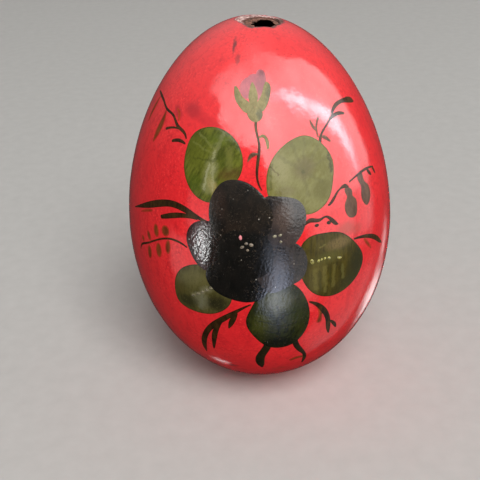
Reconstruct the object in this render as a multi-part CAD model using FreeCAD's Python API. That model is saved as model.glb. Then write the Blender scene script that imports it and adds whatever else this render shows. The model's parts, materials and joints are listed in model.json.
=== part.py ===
import FreeCAD, Part
import math
import os

# A blown hen's egg, lacquered red and painted with a dark five-petalled flower.
# The egg stands on its blunt end: origin at the lowest point, +Z up, narrow end on top.
# The flower faces -Y. An azimuth is 0 at the front (-Y) and grows towards +X, in degrees.

# Driving dimensions, millimetres
EGG_LENGTH = 63.0
EGG_WIDTH = 44.0
SHELL_THICKNESS = 0.38
MEMBRANE_THICKNESS = 0.08
COAT_THICKNESS = 0.12
PAINT_THICKNESS = 0.14

# Shape of the egg: the half width is that of an ellipse, times a taper towards the narrow end
TAPER = 0.087
TAPER_ROUNDING = 0.018
WIDEST_SWELL = 1.003622
MERIDIAN_POINTS = 41

# Blow-hole in the narrow end, a little off the pole
HOLE_RADIUS = 3.15
HOLE_OFFSET = 1.25
HOLE_AZIMUTH = 72.0
HOLE_SEARCH_STEP = 0.0005
CUTTER_REACH = 3.0
RIM_NICK_WIDTHS = {20.0: 0.9, 115.0: 0.6, 205.0: 1.1, 300.0: 0.7}
RIM_NICK_DEPTH = 0.35
RIM_NICK_OVERLAP = 0.3
RIM_NICK_TIP = 0.2
RIM_BEVEL_TOP = 0.35
RIM_BEVEL_FOOT = -0.65

# Bare margin round the hole where the lacquer has flaked off
NARROW_COAT_MARGIN = 0.25
WIDE_COAT_MARGIN = 1.25
WIDE_MARGIN_ANGLE = 130.0
CHIP_POINTS = 18
LARGE_CHIP = 0.10
SMALL_CHIP = 0.06

# Meridian steps between which the layers run: each is open at the pole, inside the blow-hole,
# and the paint keeps clear of both ends
CUP_LAST_STEP = MERIDIAN_POINTS - 2
PAINT_FIRST_STEP = 4
PAINT_LAST_STEP = MERIDIAN_POINTS - 5

V = FreeCAD.Vector
UP = V(0, 0, 1)


# ---------------------------------------------------------------- the egg's surfaces

def meridian_point(angle, inset):
    """Point (radius, height) at an angle from the blunt pole, moved in along the normal."""
    along = -math.cos(angle)
    side = math.sin(angle)
    belly = 0.5 * EGG_WIDTH / WIDEST_SWELL
    taper = 1 - TAPER * along - TAPER_ROUNDING * along ** 2
    taper_slope = -TAPER - 2 * TAPER_ROUNDING * along
    radius = belly * side * taper
    height = 0.5 * EGG_LENGTH * (1 + along)
    d_radius = belly * (math.cos(angle) * taper + side ** 2 * taper_slope)
    d_height = 0.5 * EGG_LENGTH * side
    length = math.hypot(d_radius, d_height)
    return radius - inset * d_height / length, height + inset * d_radius / length


def meridian(inset):
    """Smooth curve from the blunt pole to the narrow pole, in the XZ plane."""
    steps = [math.pi * i / (MERIDIAN_POINTS - 1) for i in range(MERIDIAN_POINTS)]
    places = [meridian_point(step, inset) for step in steps]
    points = [V(radius, 0, height) for radius, height in places]
    points[0].x = 0
    points[-1].x = 0
    curve = Part.BSplineCurve()
    curve.interpolate(Points=points, InitialTangent=V(1, 0, 0), FinalTangent=V(-1, 0, 0))
    return curve


def egg_layer(outer_inset, inner_inset, start_step, end_step):
    """Even layer turned about the axis, between two of the meridian's steps."""
    edges = []
    ends = []
    for inset in (outer_inset, inner_inset):
        curve = meridian(inset)
        knots = curve.getKnots()
        edges.append(curve.toShape(knots[start_step], knots[end_step]))
        ends.append((curve.value(knots[start_step]), curve.value(knots[end_step])))
    low = Part.makeLine(ends[0][0], ends[1][0])
    high = Part.makeLine(ends[0][1], ends[1][1])
    section = Part.Face(Part.Wire(Part.__sortEdges__([edges[0], high, edges[1], low])))
    return section.revolve(V(0, 0, 0), UP, 360)


# ---------------------------------------------------------------- the blow-hole

def hole_frame():
    """Centre of the blow-hole on the lacquered surface, and the direction out of it."""
    angle = math.pi
    while meridian_point(angle, 0)[0] < HOLE_OFFSET:
        angle -= HOLE_SEARCH_STEP
    radius, height = meridian_point(angle, 0)
    outer_radius, outer_height = meridian_point(angle, -1)
    turn = math.radians(HOLE_AZIMUTH)
    outward = V(math.sin(turn), -math.cos(turn), 0)
    centre = outward * radius + UP * height
    axis = outward * (outer_radius - radius) + UP * (outer_height - height)
    return centre, axis


def hole_cutter(outline):
    """Cut along the hole's axis, from an outline drawn around it in its own plane."""
    centre, axis = hole_frame()
    face = Part.Face(outline)
    face.translate(UP * -CUTTER_REACH)
    cutter = face.extrude(UP * (2 * CUTTER_REACH))
    cutter.Placement = FreeCAD.Placement(centre, FreeCAD.Rotation(UP, axis))
    return cutter


def round_outline(radius):
    return Part.Wire(Part.Circle(V(0, 0, 0), UP, radius).toShape())


def rim_bevel():
    """Cone that takes the sharp outer edge off the shell's rim, at 45 degrees."""
    centre, axis = hole_frame()
    depth = RIM_BEVEL_TOP - RIM_BEVEL_FOOT
    foot = centre + axis * RIM_BEVEL_FOOT
    return Part.makeCone(HOLE_RADIUS, HOLE_RADIUS + depth, depth, foot, axis)


def rim_nick(angle, width):
    """Small wedge broken out of the shell's rim."""
    half = math.degrees(0.5 * width / HOLE_RADIUS)
    inner = HOLE_RADIUS - RIM_NICK_OVERLAP
    outer = HOLE_RADIUS + RIM_NICK_DEPTH
    corners = [(inner, -half), (inner, half), (outer, RIM_NICK_TIP * half)]
    points = []
    for radius, side in corners:
        turn = math.radians(angle + side)
        points.append(V(radius * math.cos(turn), radius * math.sin(turn), 0))
    return Part.makePolygon(points + points[:1])


def chipped_outline():
    """Uneven edge where the lacquer has flaked back from the hole, most at the back left."""
    points = []
    for i in range(CHIP_POINTS):
        turn = 2 * math.pi * i / CHIP_POINTS
        toward_wide = 0.5 + 0.5 * math.cos(turn - math.radians(WIDE_MARGIN_ANGLE))
        flaked = NARROW_COAT_MARGIN + (WIDE_COAT_MARGIN - NARROW_COAT_MARGIN) * toward_wide
        ragged = LARGE_CHIP * math.sin(3 * turn + 0.7) + SMALL_CHIP * math.sin(5 * turn)
        radius = HOLE_RADIUS + flaked + ragged
        points.append(V(radius * math.cos(turn), radius * math.sin(turn), 0))
    return closed_curve(points)


# ---------------------------------------------------------------- shell, lining and lacquer

def cup_layer(outer_inset, inner_inset):
    """Layer over the whole egg but for a small round at the narrow pole, inside the blow-hole."""
    return egg_layer(outer_inset, inner_inset, 0, CUP_LAST_STEP)


def make_eggshell():
    shell = cup_layer(COAT_THICKNESS, COAT_THICKNESS + SHELL_THICKNESS)
    shell = shell.cut(hole_cutter(round_outline(HOLE_RADIUS)))
    for angle, width in RIM_NICK_WIDTHS.items():
        shell = shell.cut(hole_cutter(rim_nick(angle, width)))
    return shell.cut(rim_bevel())


def make_membrane():
    outer = COAT_THICKNESS + SHELL_THICKNESS
    lining = cup_layer(outer, outer + MEMBRANE_THICKNESS)
    return lining.cut(hole_cutter(round_outline(HOLE_RADIUS + RIM_NICK_DEPTH)))


def make_ground_coat():
    return cup_layer(0, COAT_THICKNESS).cut(hole_cutter(chipped_outline()))


# ---------------------------------------------------------------- brush marks

def closed_curve(points):
    curve = Part.BSplineCurve()
    curve.interpolate(Points=points, PeriodicFlag=True)
    return Part.Wire(curve.toShape())


def patch(outline):
    """Area of paint with a smooth closed outline of (across, height) points."""
    return Part.Face(closed_curve([V(across, 0, height) for across, height in outline]))


def blob(across, height, width, tall, lean=0):
    """Oval dab of paint, its long side leaning clockwise by some degrees."""
    flat = max(width, tall) == width
    oval = Part.Ellipse(V(0, 0, 0), 0.5 * max(width, tall), 0.5 * min(width, tall))
    face = Part.Face(Part.Wire(oval.toShape()))
    face.rotate(V(0, 0, 0), V(0, 0, 1), 0 if flat else 90)
    face.rotate(V(0, 0, 0), V(1, 0, 0), 90)
    face.rotate(V(0, 0, 0), V(0, 1, 0), lean)
    face.translate(V(across, 0, height))
    return face


def side_line(points):
    curve = Part.BSplineCurve()
    curve.interpolate(Points=points)
    return curve.toShape()


def stroke(line, widths):
    """Brush stroke along a line of (across, height) points, with its width at each point."""
    spine = Part.BSplineCurve()
    spine.interpolate(Points=[V(across, 0, height) for across, height in line])
    left = []
    right = []
    for (across, height), width in zip(line, widths):
        place = V(across, 0, height)
        forward = spine.tangent(spine.parameter(place))[0]
        sideways = V(-forward.z, 0, forward.x) * (0.5 * width)
        left.append(place + sideways)
        right.append(place - sideways)
    backward = spine.tangent(spine.FirstParameter)[0] * (-0.5 * widths[0])
    onward = spine.tangent(spine.LastParameter)[0] * (0.5 * widths[-1])
    tip = Part.Arc(left[-1], V(line[-1][0], 0, line[-1][1]) + onward, right[-1]).toShape()
    heel = Part.Arc(right[0], V(line[0][0], 0, line[0][1]) + backward, left[0]).toShape()
    return Part.Face(Part.Wire([side_line(left), tip, side_line(right[::-1]), heel]))


def marks(turn, *faces):
    """Prisms that carry flat brush marks onto the egg, seen square on from an azimuth."""
    prism = faces[0].extrude(V(0, -EGG_WIDTH, 0))
    for face in faces[1:]:
        prism = prism.fuse(face.extrude(V(0, -EGG_WIDTH, 0)))
    prism.rotate(V(0, 0, 0), UP, turn)
    return prism


def flower():
    """The dark flower, from the lowest petal to the eye painted last."""
    petal_left = [(-8.9, 38.4), (-10.6, 37.5), (-11.5, 35.4), (-11.1, 33.3), (-9.9, 31.2),
                  (-7.6, 30.4), (-5.2, 32.2), (-4.8, 36.0), (-6.4, 38.4)]
    petal_bottom = [(-1.3, 25.9), (-3.1, 25.6), (-5.2, 26.0), (-8.0, 27.6), (-8.9, 30.0), (-7.4, 32.4),
                    (-3.0, 33.4), (0.6, 31.6), (1.2, 29.4), (-0.1, 27.0)]
    petal_lower_right = [(4.9, 34.8), (6.1, 33.0), (6.2, 30.8), (5.3, 29.0), (3.4, 28.1), (0.6, 27.3),
                         (-0.9, 29.0), (-1.4, 32.0), (0.4, 34.9), (3.2, 35.6)]
    petal_upper_right = [(1.1, 42.3), (3.6, 41.9), (5.3, 41.1), (6.2, 39.4), (5.9, 37.0), (4.6, 35.1),
                         (1.8, 34.0), (-0.8, 35.6), (-1.2, 39.8)]
    petal_top = [(-3.6, 44.6), (-1.7, 44.0), (-0.1, 42.6), (1.2, 40.4), (1.0, 37.6), (-0.6, 35.4),
                 (-3.8, 34.6), (-6.9, 36.2), (-7.9, 39.6), (-7.0, 42.7), (-5.4, 44.3)]
    eye = [(-3.0, 37.4), (-5.7, 36.8), (-7.0, 34.2), (-5.9, 31.3), (-3.0, 29.7), (0.1, 30.6),
           (1.3, 33.4), (0.4, 36.2)]
    return {
        "petal_left": marks(0, patch(petal_left)),
        "petal_bottom": marks(0, patch(petal_bottom)),
        "petal_lower_right": marks(0, patch(petal_lower_right)),
        "petal_upper_right": marks(0, patch(petal_upper_right)),
        "petal_top": marks(0, patch(petal_top)),
        "flower_eye": marks(0, patch(eye)),
        "stamen_pink": marks(0, blob(-3.45, 36.4, 0.45, 0.7)),
        "stamens_middle": marks(0, blob(-2.65, 35.5, 0.5, 0.4), blob(-1.95, 35.3, 0.65, 0.5, 20),
                                blob(-3.25, 34.95, 0.6, 0.4, -30), blob(-2.5, 34.5, 0.4, 0.35)),
        "stamens_right": marks(0, blob(1.55, 36.45, 0.6, 0.45), blob(2.35, 36.55, 0.55, 0.4, -20),
                               blob(2.4, 35.55, 0.4, 0.4)),
    }


def leaves():
    """Five broad leaves behind the flower, and the rows of yellow dots on two of them."""
    upper_left = [(-8.2, 41.2), (-10.2, 42.3), (-11.2, 45.0), (-10.8, 47.6), (-9.4, 50.1), (-6.3, 51.2),
                  (-3.8, 50.1), (-2.6, 47.2), (-3.1, 45.2), (-5.6, 42.6)]
    upper_right = [(5.7, 49.65), (3.2, 48.7), (1.4, 46.8), (0.65, 44.0), (1.2, 41.6), (4.0, 39.8),
                   (7.2, 39.0), (9.7, 40.4), (10.5, 42.9), (10.6, 45.2), (9.0, 48.1)]
    right = [(8.2, 35.75), (5.6, 34.7), (4.9, 32.0), (5.5, 29.0), (7.5, 25.8), (10.9, 24.5),
             (14.2, 26.0), (15.4, 28.7), (14.1, 32.2), (11.8, 34.8)]
    lower = [(2.1, 15.4), (4.0, 16.0), (6.0, 18.7), (6.65, 22.0), (5.9, 25.8), (3.6, 28.7), (0.6, 28.9),
             (-1.9, 25.4), (-3.2, 21.5), (-2.0, 18.4), (0.2, 15.9)]
    left = [(-11.4, 30.9), (-13.2, 29.2), (-14.0, 25.9), (-13.4, 23.3), (-11.0, 22.35), (-7.4, 23.1),
            (-5.4, 25.4), (-5.8, 29.0), (-8.4, 31.3)]
    return {
        "leaf_upper_left": marks(0, patch(upper_left)),
        "leaf_upper_right": marks(0, patch(upper_right)),
        "leaf_right": marks(0, patch(right)),
        "leaf_lower": marks(0, patch(lower)),
        "leaf_left": marks(0, patch(left)),
        "dots_leaf_right": marks(0, blob(7.05, 31.6, 0.55, 0.9, -20), blob(8.05, 31.5, 0.45, 0.5),
                                 blob(8.5, 31.6, 0.35, 0.4), blob(9.0, 31.65, 0.4, 0.4),
                                 blob(9.7, 31.5, 0.55, 0.4, 30), blob(11.3, 31.0, 0.8, 0.4, 25)),
        "dots_leaf_left": marks(0, blob(-7.4, 28.2, 0.85, 0.65, -30), blob(-8.25, 27.7, 0.65, 0.55, -30),
                                blob(-8.95, 27.15, 0.6, 0.45, -30), blob(-9.6, 26.65, 0.5, 0.4, -30),
                                blob(-10.3, 26.1, 0.7, 0.5, -30), blob(-11.1, 25.6, 0.6, 0.4, -30)),
    }


def rosebud():
    """Small half-open bud above the flower."""
    petal_left = [(-2.6, 56.0), (-2.1, 56.9), (-1.2, 57.3), (-0.7, 56.4), (-0.9, 55.2), (-1.6, 54.8),
                  (-2.3, 55.3)]
    petal_middle = [(-1.4, 57.2), (-0.5, 57.7), (0.3, 57.5), (0.4, 56.6), (-0.3, 55.6), (-0.9, 54.9),
                    (-1.3, 55.6)]
    petal_right = [(-0.1, 57.6), (0.4, 58.15), (1.0, 58.0), (1.35, 57.2), (1.3, 56.2), (0.8, 55.2),
                   (0.1, 54.6), (-0.2, 56.0)]
    sepal_left = [(-3.05, 56.3), (-2.7, 55.95), (-2.3, 55.2), (-1.4, 54.5), (-0.8, 53.6), (-1.4, 53.1),
                  (-2.8, 54.0), (-3.35, 55.5)]
    sepal_middle = [(-0.6, 56.7), (-0.25, 56.1), (-0.1, 54.3), (-0.6, 53.4), (-1.2, 54.3), (-1.05, 56.1)]
    sepal_right = [(1.4, 56.7), (1.85, 56.3), (1.8, 55.2), (1.3, 54.0), (0.4, 53.2), (-0.4, 53.4),
                   (0.0, 54.5), (0.7, 55.6), (1.0, 56.4)]
    receptacle = [(-1.6, 53.3), (-0.5, 53.8), (0.5, 53.3), (0.45, 52.5), (-0.1, 52.05), (-1.0, 52.1),
                  (-1.5, 52.6)]
    stem = stroke([(-0.45, 52.0), (-0.4, 50.5), (-0.15, 49.2), (-0.3, 47.7), (-0.65, 45.6), (-0.1, 43.2)],
                  [0.4, 0.35, 0.35, 0.45, 0.4, 0.2])
    leaflet_right = stroke([(0.0, 50.1), (0.55, 50.2), (0.95, 49.7), (1.05, 48.6)], [0.25, 0.4, 0.45, 0.2])
    leaflet_left = stroke([(-0.5, 47.95), (-1.1, 47.9), (-1.9, 47.0)], [0.3, 0.6, 0.15])
    return {
        "bud_petal_left": marks(0, patch(petal_left)),
        "bud_petal_middle": marks(0, patch(petal_middle)),
        "bud_petal_right": marks(0, patch(petal_right)),
        "bud_sepal_left": marks(0, patch(sepal_left)),
        "bud_sepal_right": marks(0, patch(sepal_right)),
        "bud_sepal_middle": marks(0, patch(sepal_middle)),
        "bud_stem": marks(0, stem),
        "bud_receptacle": marks(0, patch(receptacle)),
        "bud_leaflet_right": marks(0, leaflet_right),
        "bud_leaflet_left": marks(0, leaflet_left),
    }


def vine_upper_left():
    """Long twig past the upper left leaf, with two hanging leaves."""
    pendant_near = stroke([(0.2, 51.7), (0.35, 50.4), (0.1, 49.0), (-0.4, 47.3)], [0.35, 1.1, 1.3, 0.5])
    pendant_far = stroke([(0.6, 52.5), (0.4, 51.3), (0.2, 50.1), (0.2, 49.0)], [0.35, 0.9, 0.9, 0.4])
    stem = stroke([(6.4, 49.2), (5.4, 50.0), (4.2, 50.4), (2.4, 51.5), (0.3, 51.9), (-1.6, 52.55),
                   (-3.3, 52.9), (-5.0, 53.0)], [0.2, 0.4, 0.45, 0.35, 0.35, 0.35, 0.4, 0.2])
    blade = stroke([(4.8, 50.15), (3.3, 50.05), (2.0, 49.6)], [0.25, 0.3, 0.4])
    dash = stroke([(6.5, 48.5), (5.4, 48.7), (4.2, 48.4)], [0.25, 0.5, 0.4])
    twig = stroke([(3.8, 51.2), (3.4, 52.0), (2.6, 52.5)], [0.3, 0.45, 0.25])
    return {
        "vine_pendant_near": marks(-60, pendant_near),
        "vine_pendant_far": marks(-76, pendant_far),
        "vine_stem": marks(-60, stem),
        "vine_blade": marks(-60, blade),
        "vine_dash": marks(-60, dash),
        "vine_twig": marks(-60, twig),
    }


def grass_left():
    """Long blades that arch out to the left from the flower."""
    long_blade = stroke([(9.4, 38.4), (8.0, 38.8), (6.0, 39.5), (3.5, 39.8), (1.0, 39.2), (-1.5, 38.2),
                         (-4.0, 37.1), (-6.6, 35.9)], [0.3, 0.6, 0.9, 1.0, 1.1, 1.0, 0.6, 0.15])
    short_blade = stroke([(8.0, 38.5), (6.0, 38.6), (4.0, 38.15), (1.7, 37.3)], [0.3, 0.7, 0.85, 0.6])
    faint_blade = stroke([(-0.9, 37.5), (-2.5, 36.9), (-4.0, 36.2)], [0.4, 0.5, 0.15])
    return {
        "grass_left_faint": marks(-50, faint_blade),
        "grass_left_short": marks(-50, short_blade),
        "grass_left_long": marks(-50, long_blade),
    }


def fern():
    """Thin stem to the left with pairs of small rusty leaflets."""
    stem = stroke([(6.7, 33.8), (5.5, 34.25), (3.6, 34.3), (1.5, 33.6), (-0.5, 32.5), (-2.5, 31.4),
                   (-3.9, 30.6), (-4.5, 29.6)], [0.25, 0.35, 0.35, 0.3, 0.3, 0.35, 0.35, 0.2])
    return {
        "fern_leaflets_upper": marks(-50, blob(2.6, 35.3, 1.7, 1.8), blob(0.5, 34.7, 1.3, 2.1, -10),
                                     blob(-1.4, 33.2, 1.0, 1.6, -25), blob(-3.3, 31.95, 0.9, 1.0, -20)),
        "fern_leaflets_lower": marks(-50, blob(3.2, 32.8, 1.1, 2.4, 5), blob(1.1, 31.6, 1.4, 2.5),
                                     blob(-1.4, 30.3, 1.2, 2.4, 5)),
        "fern_stem": marks(-50, stem),
    }


def grass_lower_left():
    """Drooping blades between the left leaf and the lower leaf."""
    outer = stroke([(-2.5, 25.1), (-4.5, 23.8), (-6.5, 22.1), (-8.4, 20.2), (-9.6, 18.0), (-10.1, 15.5),
                    (-9.9, 12.5)], [0.25, 0.6, 1.0, 1.0, 0.9, 0.85, 0.15])
    inner = stroke([(-7.2, 21.0), (-8.0, 19.2), (-8.4, 17.0), (-8.6, 14.2)], [0.5, 0.85, 0.8, 0.2])
    small = stroke([(-4.7, 23.2), (-5.3, 21.8), (-5.9, 20.1)], [0.5, 0.9, 0.25])
    return {
        "grass_lower_left_small": marks(0, small),
        "grass_lower_left_inner": marks(0, inner),
        "grass_lower_left_outer": marks(0, outer),
    }


def roots():
    """Two thick stalks below the lower leaf, and a stub beside the right one."""
    left = stroke([(0.1, 16.9), (-0.4, 15.0), (-1.1, 13.2), (-1.2, 11.5), (-0.9, 9.6)],
                  [1.1, 1.35, 1.45, 1.4, 0.4])
    right = stroke([(4.4, 16.9), (4.8, 15.0), (5.4, 13.7), (6.0, 12.4), (6.1, 10.8), (5.8, 9.2)],
                   [0.9, 0.95, 0.85, 0.6, 0.6, 0.2])
    stub = stroke([(5.9, 11.5), (5.0, 11.6), (3.9, 11.2)], [0.6, 0.9, 0.7])
    return {
        "root_left": marks(0, left),
        "root_stub": marks(0, stub),
        "root_right": marks(0, right),
    }


def grass_lower_right():
    """Drooping blades to the right of the lower leaf."""
    main = stroke([(6.7, 24.5), (7.9, 23.6), (9.0, 22.0), (9.6, 20.3), (9.8, 18.4), (9.95, 16.4)],
                  [0.3, 0.7, 0.9, 0.8, 0.8, 0.25])
    side = stroke([(10.2, 19.2), (10.8, 18.2), (11.15, 17.1)], [0.3, 0.6, 0.25])
    inner = stroke([(8.0, 23.0), (8.4, 21.6), (8.2, 20.1)], [0.4, 0.6, 0.9])
    return {
        "grass_lower_right_inner": marks(0, inner),
        "grass_lower_right_side": marks(0, side),
        "grass_lower_right_main": marks(0, main),
    }


def grass_right():
    """One arched blade and a short one below the right leaf's shoulder."""
    main = stroke([(-2.2, 33.0), (-0.5, 32.7), (1.5, 32.0), (3.2, 31.0), (4.5, 29.9), (5.6, 28.9)],
                  [0.3, 0.5, 0.7, 0.8, 0.7, 0.15])
    side = stroke([(0.1, 32.0), (0.9, 31.0), (1.9, 29.7)], [0.4, 0.65, 0.2])
    return {
        "grass_right_side": marks(45, side),
        "grass_right_main": marks(45, main),
    }


def tendril():
    """Short curl right of the flower, with two small dabs under it."""
    curl = stroke([(6.1, 37.6), (7.2, 38.0), (8.3, 37.8), (9.2, 38.05), (10.0, 37.5), (11.1, 36.4)],
                  [0.35, 0.65, 0.5, 0.3, 0.5, 0.2])
    return {"tendril": marks(0, curl, blob(7.85, 37.1, 0.65, 0.5), blob(9.7, 37.05, 0.7, 0.55, 20))}


def pods():
    """Two stalks with a hanging seed pod each."""
    near_stalk = stroke([(-6.1, 39.6), (-5.3, 40.1), (-4.4, 40.9), (-3.5, 41.4), (-2.8, 41.5), (-2.1, 41.2)],
                        [0.3, 0.45, 0.35, 0.3, 0.6, 0.3])
    near_pod = [(-2.85, 41.0), (-2.8, 40.4), (-2.65, 39.85), (-3.1, 39.2), (-3.2, 37.2), (-2.6, 36.6),
                (-1.4, 36.6), (-0.95, 37.6), (-1.0, 39.1), (-1.5, 39.8), (-1.4, 40.4), (-1.7, 40.9),
                (-2.3, 41.2)]
    far_stalk = stroke([(-1.5, 41.8), (0.0, 42.1), (2.0, 42.3), (3.5, 42.2), (5.1, 41.8)],
                       [0.25, 0.3, 0.4, 0.35, 0.2])
    inner_wisp = stroke([(3.1, 42.1), (3.5, 41.6), (4.0, 41.0)], [0.3, 0.6, 0.25])
    outer_wisp = stroke([(4.8, 41.8), (5.1, 41.3), (5.4, 40.7)], [0.3, 0.45, 0.2])
    far_pod = [(0.35, 42.0), (0.4, 41.2), (0.75, 40.4), (0.45, 39.2), (0.75, 37.8), (1.5, 37.15),
               (2.4, 37.6), (2.85, 39.2), (2.5, 40.1), (1.9, 40.7), (1.7, 41.4), (1.6, 42.1)]
    return {
        "pod_near": marks(45, patch(near_pod)),
        "pod_near_stalk": marks(45, near_stalk),
        "pod_far": marks(45, patch(far_pod)),
        "pod_far_stalk": marks(45, far_stalk, inner_wisp, outer_wisp),
    }


def spray_upper_right():
    """Spray of thin twigs and blades off the upper right leaf."""
    stem = stroke([(8.8, 48.4), (9.0, 49.2), (9.9, 50.2), (11.0, 51.4)], [0.45, 0.4, 0.3, 0.3])
    upper_blade = stroke([(10.95, 51.5), (11.7, 52.15), (12.7, 52.2), (13.6, 51.95), (14.7, 51.2)],
                         [0.45, 0.6, 0.5, 0.6, 0.15])
    lower_blade = stroke([(10.6, 50.85), (11.7, 51.05), (12.8, 50.7)], [0.45, 0.5, 0.25])
    left_twig = stroke([(8.5, 49.1), (8.3, 50.2), (8.6, 51.3)], [0.25, 0.3, 0.4])
    outer_twig = stroke([(8.3, 49.9), (7.8, 50.5), (7.4, 51.3)], [0.25, 0.4, 0.2])
    dash = stroke([(9.3, 48.9), (9.8, 48.55), (10.3, 48.1)], [0.45, 0.45, 0.25])
    return {
        "spray_twigs": marks(0, left_twig, outer_twig, dash),
        "spray_blades": marks(0, stem, upper_blade, lower_blade),
    }


def brush_marks():
    """Every painted mark in the order of painting, so that later ones lie over earlier ones."""
    ordered = {}
    groups = [vine_upper_left, grass_left, fern, grass_lower_left, roots, grass_lower_right, grass_right,
              tendril, pods, spray_upper_right, rosebud, leaves, flower]
    for group in groups:
        ordered.update(group())
    return ordered


def make_paint():
    """Paint films on the lacquer. Where marks cross, the later one takes the place of the earlier."""
    layer = egg_layer(-PAINT_THICKNESS, 0, PAINT_FIRST_STEP, PAINT_LAST_STEP)
    prisms = brush_marks()
    names = list(prisms)
    films = {}
    for index, name in enumerate(names):
        film = layer.common(prisms[name])
        for later in names[index + 1:]:
            if film.BoundBox.intersect(prisms[later].BoundBox):
                film = film.cut(prisms[later])
        films[name] = film
    return films


def write_part():
    os.makedirs("parts", exist_ok=True)
    nodes = {
        "eggshell": make_eggshell(),
        "shell_membrane": make_membrane(),
        "ground_coat": make_ground_coat(),
    }
    nodes.update(make_paint())
    for name, shape in nodes.items():
        solids = Part.makeCompound(shape.Solids) if len(shape.Solids) > 1 else shape.Solids[0]
        solids.exportStep("parts/" + name + ".step")
        print(name, len(shape.Solids), "solid(s)", round(shape.Volume, 3), "mm3", shape.isValid())
    print("blow-hole centre and axis", hole_frame())


write_part()
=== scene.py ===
import json
import math

import bmesh
import bpy
import numpy as np
from mathutils import Matrix, Vector, noise
from mathutils.geometry import delaunay_2d_cdt
from mathutils.kdtree import KDTree


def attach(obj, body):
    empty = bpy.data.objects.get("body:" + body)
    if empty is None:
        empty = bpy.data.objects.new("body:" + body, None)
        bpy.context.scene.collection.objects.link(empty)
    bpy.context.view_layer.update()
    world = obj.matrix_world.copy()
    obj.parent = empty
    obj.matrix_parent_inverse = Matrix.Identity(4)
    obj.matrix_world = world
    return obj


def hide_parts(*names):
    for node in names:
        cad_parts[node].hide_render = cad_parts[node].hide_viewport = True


# A blown egg, lacquered red and painted with a dark flower.
# Lengths in this script are millimetres in the part's frame: +Z up the egg, the flower faces -Y.
# Meshes are turned to metres when they are built.

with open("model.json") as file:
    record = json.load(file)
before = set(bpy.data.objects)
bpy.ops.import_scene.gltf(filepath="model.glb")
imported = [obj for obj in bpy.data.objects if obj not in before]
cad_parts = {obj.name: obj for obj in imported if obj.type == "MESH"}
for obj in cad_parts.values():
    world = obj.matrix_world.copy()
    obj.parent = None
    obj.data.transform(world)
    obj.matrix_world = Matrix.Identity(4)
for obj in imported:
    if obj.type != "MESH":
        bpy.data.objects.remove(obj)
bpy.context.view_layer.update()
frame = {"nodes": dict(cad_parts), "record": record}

MM = 0.001

# Shape of the lacquered egg, as in the CAD part; the taper adds the bulge to its widest part
LENGTH = 63.0
WIDTH = 44.0
BULGE = 1.003622
BELLY = 0.5 * WIDTH / BULGE
TAPER = 0.087
TAPER_ROUNDING = 0.018
CENTRE = np.array([0.0, 0.0, 0.5 * LENGTH])

# Layers, measured inwards from the lacquer's surface
COAT = 0.12
SHELL = 0.38
LINING = 0.1
GAP = 0.005
PAINT = 0.14

# How thick the paint looks: thinner than the CAD's films, but for the small raised dots
STROKE_THICKNESS = 0.014
LEAF_THICKNESS = 0.03
PETAL_THICKNESS = 0.035
DOT_THICKNESS = 0.16

# How near two marks' borders lie where one was painted over the other
SHARED_BORDER = 0.1


# ---- the egg's surface

def outside(points):
    """Positive outside the egg and negative inside it, with its gradient."""
    u = 2 * points[..., 2] / LENGTH - 1
    taper = 1 - TAPER * u - TAPER_ROUNDING * u * u
    half_width_squared = BELLY ** 2 * (1 - u * u) * taper ** 2
    slope = -TAPER - 2 * TAPER_ROUNDING * u
    d_square = BELLY ** 2 * (2 * (1 - u * u) * taper * slope - 2 * u * taper ** 2) * 2 / LENGTH
    value = points[..., 0] ** 2 + points[..., 1] ** 2 - half_width_squared
    gradient = np.stack([2 * points[..., 0], 2 * points[..., 1], -d_square], axis=-1)
    return value, gradient


def height_above(points):
    """Distance from the lacquer's surface, for points near it."""
    value, gradient = outside(points)
    return value / np.linalg.norm(gradient, axis=-1)


def normals_at(points):
    gradient = outside(points)[1]
    return gradient / np.linalg.norm(gradient, axis=-1, keepdims=True)


def meet_surface(starts, directions, guess):
    """Where rays meet the lacquer's surface, near a first guess of their length."""
    length = np.full(starts.shape[:-1], float(guess))
    for _ in range(12):
        points = starts + length[..., None] * directions
        value, gradient = outside(points)
        length -= value / np.sum(gradient * directions, axis=-1)
    return starts + length[..., None] * directions


def wobble(points, size, seed=0.0):
    """Smooth noise in -1..1 with lumps of about a size, one value per point."""
    shift = Vector((seed * 17.3, seed * 5.1, seed * 9.7))
    return np.array([noise.noise(Vector(p) / size + shift) for p in points])


def relief(points):
    """Long low waves and brush lumps in the lacquer."""
    return 0.03 * wobble(points, 6.0, 1) + 0.014 * wobble(points, 2.2, 2)


def smooth_step(x):
    x = np.clip(x, 0, 1)
    return x * x * (3 - 2 * x)


# ---- building meshes

def add_object(name, data):
    obj = bpy.data.objects.new(name, data)
    bpy.context.collection.objects.link(obj)
    return obj


def make_object(name, points, faces, attributes=None):
    """Mesh object from points in millimetres."""
    mesh = bpy.data.meshes.new(name)
    mesh.from_pydata([tuple(p) for p in np.asarray(points) * MM], [], faces)
    for label, values in (attributes or {}).items():
        layer = mesh.attributes.new(label, "FLOAT", "POINT")
        layer.data.foreach_set("value", np.asarray(values, dtype=np.float32))
    mesh.update()
    mesh.shade_smooth()
    return add_object(name, mesh)


def grid_faces(rows, columns, closed=True):
    """Quads between neighbouring rows of points; a closed grid also joins each row's end to its start."""
    faces = []
    for r in range(rows - 1):
        for i in range(columns if closed else columns - 1):
            j = (i + 1) % columns
            faces.append((r * columns + i, r * columns + j, (r + 1) * columns + j, (r + 1) * columns + i))
    return faces


def place(obj, node, material):
    """Puts a piece on the egg's body in place of its CAD node, with that node's finish."""
    obj.data.materials.append(material)
    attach(obj, "root")
    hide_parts(node)


# ---- shell, lining and lacquer

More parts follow.
